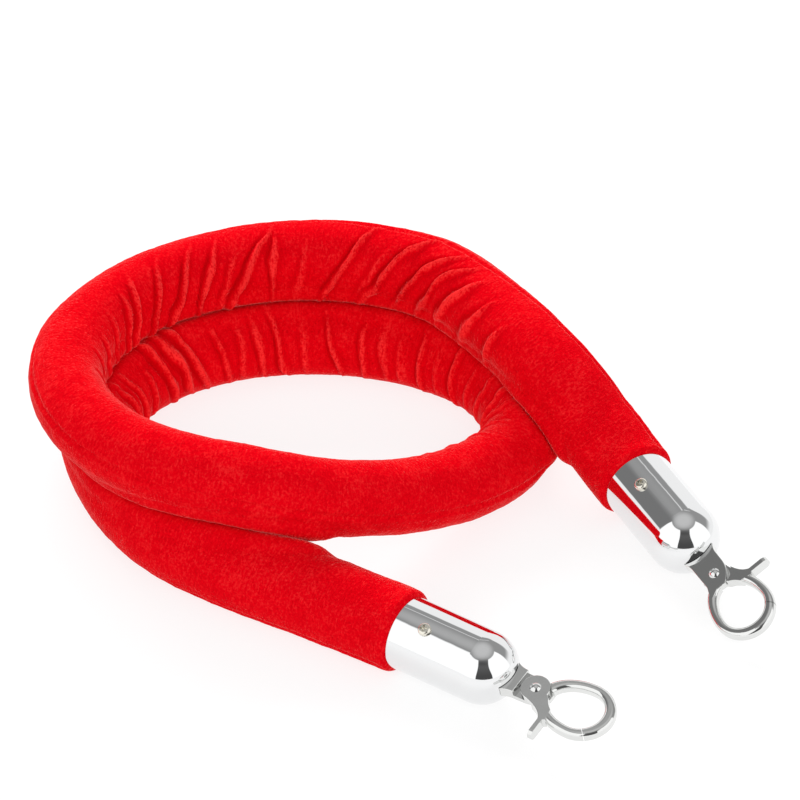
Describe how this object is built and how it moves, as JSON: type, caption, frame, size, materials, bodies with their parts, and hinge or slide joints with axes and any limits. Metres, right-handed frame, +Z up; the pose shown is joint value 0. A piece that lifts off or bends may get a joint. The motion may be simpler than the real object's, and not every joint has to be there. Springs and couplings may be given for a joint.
{
  "type": "velvet barrier rope",
  "caption": "Coiled red velvet barrier rope with a chromed cap and a swivelling snap hook on each end.",
  "frame": {"origin": "on the ground, under the middle of the whole rope's box", "axes": "+Z up; +X to the right as the picture shows it, along the longest side of the coil; +Y away from the viewer"},
  "size_m": [0.3812, 0.3596, 0.0809],
  "materials": {
    "velvet": "red velvet, cut pile",
    "core": "soft fibre filling",
    "cord": "plain braided cord",
    "chromed_cap": "mirror chrome",
    "chromed_hook": "chromed die casting, polished",
    "screw_steel": "bright zinc plated",
    "spring_steel": "spring wire",
    "plug_wood": "turned hardwood, raw"
  },
  "bodies": {
    "rope": {"velvet_sleeve": "velvet", "foam_core": "core", "tension_cord": "cord", "end_cap_a": "chromed_cap", "cap_screws_a": "screw_steel", "end_plug_a": "plug_wood", "swivel_washer_a": "screw_steel", "end_cap_b": "chromed_cap", "cap_screws_b": "screw_steel", "end_plug_b": "plug_wood", "swivel_washer_b": "screw_steel"},
    "hook_a": {"swivel_stud_a": "chromed_hook", "hook_body_a": "chromed_hook", "gate_rivet_a": "chromed_hook", "gate_spring_a": "spring_steel"},
    "hook_b": {"swivel_stud_b": "chromed_hook", "hook_body_b": "chromed_hook", "gate_rivet_b": "chromed_hook", "gate_spring_b": "spring_steel"},
    "gate_a": {"gate_a": "chromed_hook"},
    "gate_b": {"gate_b": "chromed_hook"}
  },
  "joints": [
    {"name": "hook_a_swivel", "type": "hinge", "parent": "rope", "child": "hook_a", "pos_m": [0.06907, -0.14821, 0.0195], "axis": [0.816, -0.578, 0], "continuous": true},
    {"name": "gate_a_pivot", "type": "hinge", "parent": "hook_a", "child": "gate_a", "pos_m": [0.06907, -0.14821, 0.0195], "axis": [0.1496, 0.2112, -0.9659], "range_deg": [0, 30], "stiffness_Nm_per_rad": 0.1, "springref_deg": -34.38},
    {"name": "hook_b_swivel", "type": "hinge", "parent": "rope", "child": "hook_b", "pos_m": [0.16166, -0.05626, 0.01768], "axis": [0.4826, -0.8715, -0.0874], "continuous": true},
    {"name": "gate_b_pivot", "type": "hinge", "parent": "hook_b", "child": "gate_b", "pos_m": [0.16166, -0.05626, 0.01768], "axis": [-0.4008, -0.3084, 0.8627], "range_deg": [0, 30], "stiffness_Nm_per_rad": 0.1, "springref_deg": -34.38}
  ]
}
